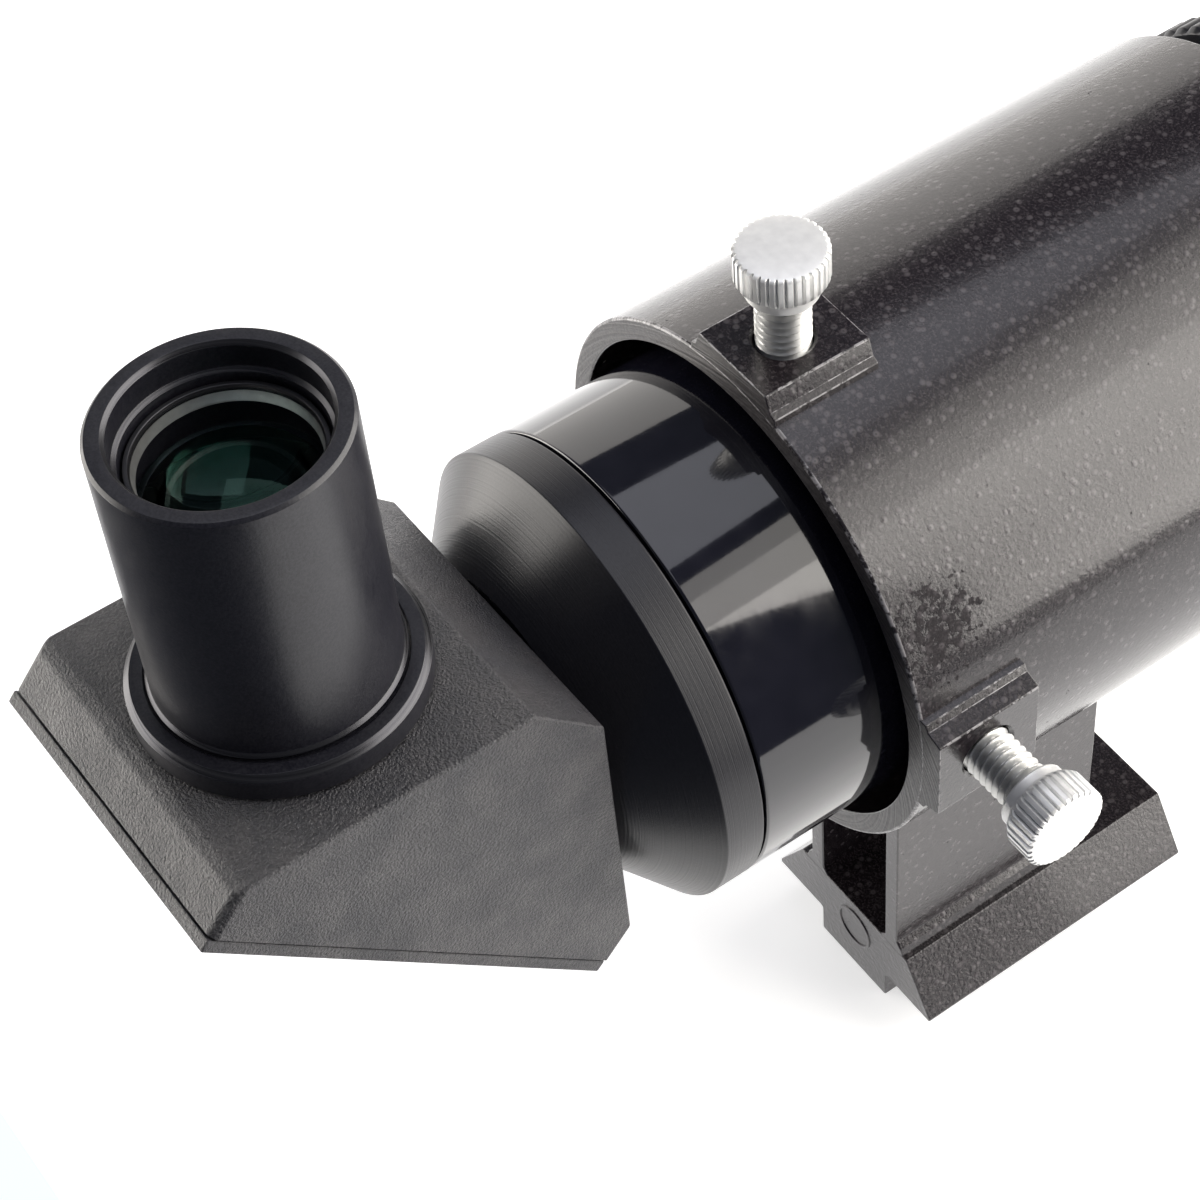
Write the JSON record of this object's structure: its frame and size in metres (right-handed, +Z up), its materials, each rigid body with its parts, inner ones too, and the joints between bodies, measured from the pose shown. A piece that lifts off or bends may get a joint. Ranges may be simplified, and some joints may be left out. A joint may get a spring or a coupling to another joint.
{
  "type": "right-angle finder telescope",
  "caption": "Small right-angle refractor finder scope in a tip-tilt ring bracket with thumbscrews, sprung plunger and dovetail foot.",
  "frame": {"origin": "middle of the flat underside of the dovetail foot", "axes": "+Y along the telescope towards the objective, +Z up from the foot to the tube"},
  "size_m": [0.0843, 0.2087, 0.1551],
  "materials": {
    "cast_paint": "hammertone enamel over an aluminium die casting",
    "gloss_black": "gloss black enamel over aluminium tube",
    "anodised": "satin black anodised, finely turned",
    "abs": "fine leather-grain moulded black",
    "satin_black": "bead-blasted black anodised",
    "silver": "bright turned metal",
    "spring_steel": "drawn wire",
    "coated_glass": "polished, green anti-reflection coating",
    "rubber": "smooth moulded black",
    "nylon": "turned natural nylon",
    "foam": "black foam sheet"
  },
  "bodies": {
    "bracket": {"bracket_casting": "cast_paint", "plunger_barrel": "silver", "plunger_end_cap": "silver", "plunger_spring": "spring_steel"},
    "top_screw_tip": {"top_screw_tip": "nylon"},
    "top_thumbscrew": {"top_thumbscrew": "silver"},
    "side_screw_tip": {"side_screw_tip": "nylon"},
    "side_thumbscrew": {"side_thumbscrew": "silver"},
    "plunger_pin": {"plunger_pin": "silver"},
    "pivot_o_ring": {"pivot_o_ring": "rubber"},
    "tube": {"main_tube": "gloss_black", "rear_baffle": "satin_black", "front_baffle": "satin_black"},
    "lock_ring": {"focus_lock_ring": "anodised"},
    "objective_optics": {"objective_flint_lens": "coated_glass", "objective_spacer": "silver", "objective_crown_lens": "coated_glass"},
    "objective_cell": {"objective_cell": "anodised", "objective_retaining_ring": "anodised", "dew_shield": "gloss_black"},
    "diagonal": {"diagonal_adapter": "anodised", "adapter_lock_nut": "silver", "prism_housing": "abs", "prism_cover_plate": "abs", "cover_screw_1": "silver", "cover_screw_2": "silver", "cover_screw_3": "silver", "cover_screw_4": "silver", "amici_prism": "coated_glass", "prism_shim_left": "foam", "prism_shim_right": "foam", "eyepiece_flange": "satin_black", "eyepiece_barrel": "satin_black", "eye_lens_retaining_ring": "silver", "eye_lens": "coated_glass", "eyepiece_spacer": "satin_black", "eyepiece_middle_lens": "coated_glass", "field_lens_spacer": "satin_black", "field_lens": "coated_glass", "field_stop": "satin_black", "crosshair_reticle": "coated_glass", "reticle_retaining_ring": "anodised"}
  },
  "joints": [
    {"name": "tube_pitch", "type": "hinge", "parent": "bracket", "child": "pivot_o_ring", "pos_m": [0, 0.0305, 0.093], "axis": [1, 0, 0], "range_deg": [-0.94, 0.94]},
    {"name": "tube_yaw", "type": "hinge", "parent": "pivot_o_ring", "child": "tube", "pos_m": [0, 0.0305, 0.093], "axis": [0, 0, -1], "range_deg": [-0.94, 0.94]},
    {"name": "top_screw_advance", "type": "slide", "parent": "bracket", "child": "top_screw_tip", "axis": [0, 0, -1], "range_m": [-0.00101, 0.00101]},
    {"name": "top_screw_turn", "type": "hinge", "parent": "top_screw_tip", "child": "top_thumbscrew", "pos_m": [0, -0.0307, 0.133], "axis": [0, 0, -1], "range_deg": [-361, 361]},
    {"name": "side_screw_advance", "type": "slide", "parent": "bracket", "child": "side_screw_tip", "axis": [-1, 0, 0], "range_m": [-0.00101, 0.00101]},
    {"name": "side_screw_turn", "type": "hinge", "parent": "side_screw_tip", "child": "side_thumbscrew", "pos_m": [0.04, -0.0307, 0.093], "axis": [-1, 0, 0], "range_deg": [-361, 361]},
    {"name": "plunger_press", "type": "slide", "parent": "bracket", "child": "plunger_pin", "axis": [-0.7071, 0, -0.7071], "range_m": [0, 0.002], "stiffness_N_per_m": 900, "springref_m": -0.004, "deforming": ["plunger_spring"]},
    {"name": "lock_ring_turn", "type": "hinge", "parent": "tube", "child": "lock_ring", "pos_m": [0, 0.04525, 0.093], "axis": [0, 1, 0], "range_deg": [-90, 0]},
    {"name": "objective_turn", "type": "hinge", "parent": "objective_optics", "child": "objective_cell", "pos_m": [0, 0.0595, 0.093], "axis": [0, 1, 0], "range_deg": [0, 720]},
    {"name": "objective_advance", "type": "slide", "parent": "tube", "child": "objective_optics", "axis": [0, 1, 0], "range_m": [0, 0.0015]},
    {"name": "diagonal_roll", "type": "hinge", "parent": "tube", "child": "diagonal", "pos_m": [0, -0.0575, 0.093], "axis": [0, 1, 0], "range_deg": [-180, 180]}
  ],
  "couplings": [
    {"joint": "top_screw_turn", "follows": "tube_pitch", "ratio": 384.53},
    {"joint": "top_screw_advance", "follows": "tube_pitch", "m_per_rad": 0.0612},
    {"joint": "side_screw_turn", "follows": "tube_yaw", "ratio": 384.53},
    {"joint": "side_screw_advance", "follows": "tube_yaw", "m_per_rad": 0.0612},
    {"joint": "objective_advance", "follows": "objective_turn", "m_per_rad": 0.00011937}
  ]
}
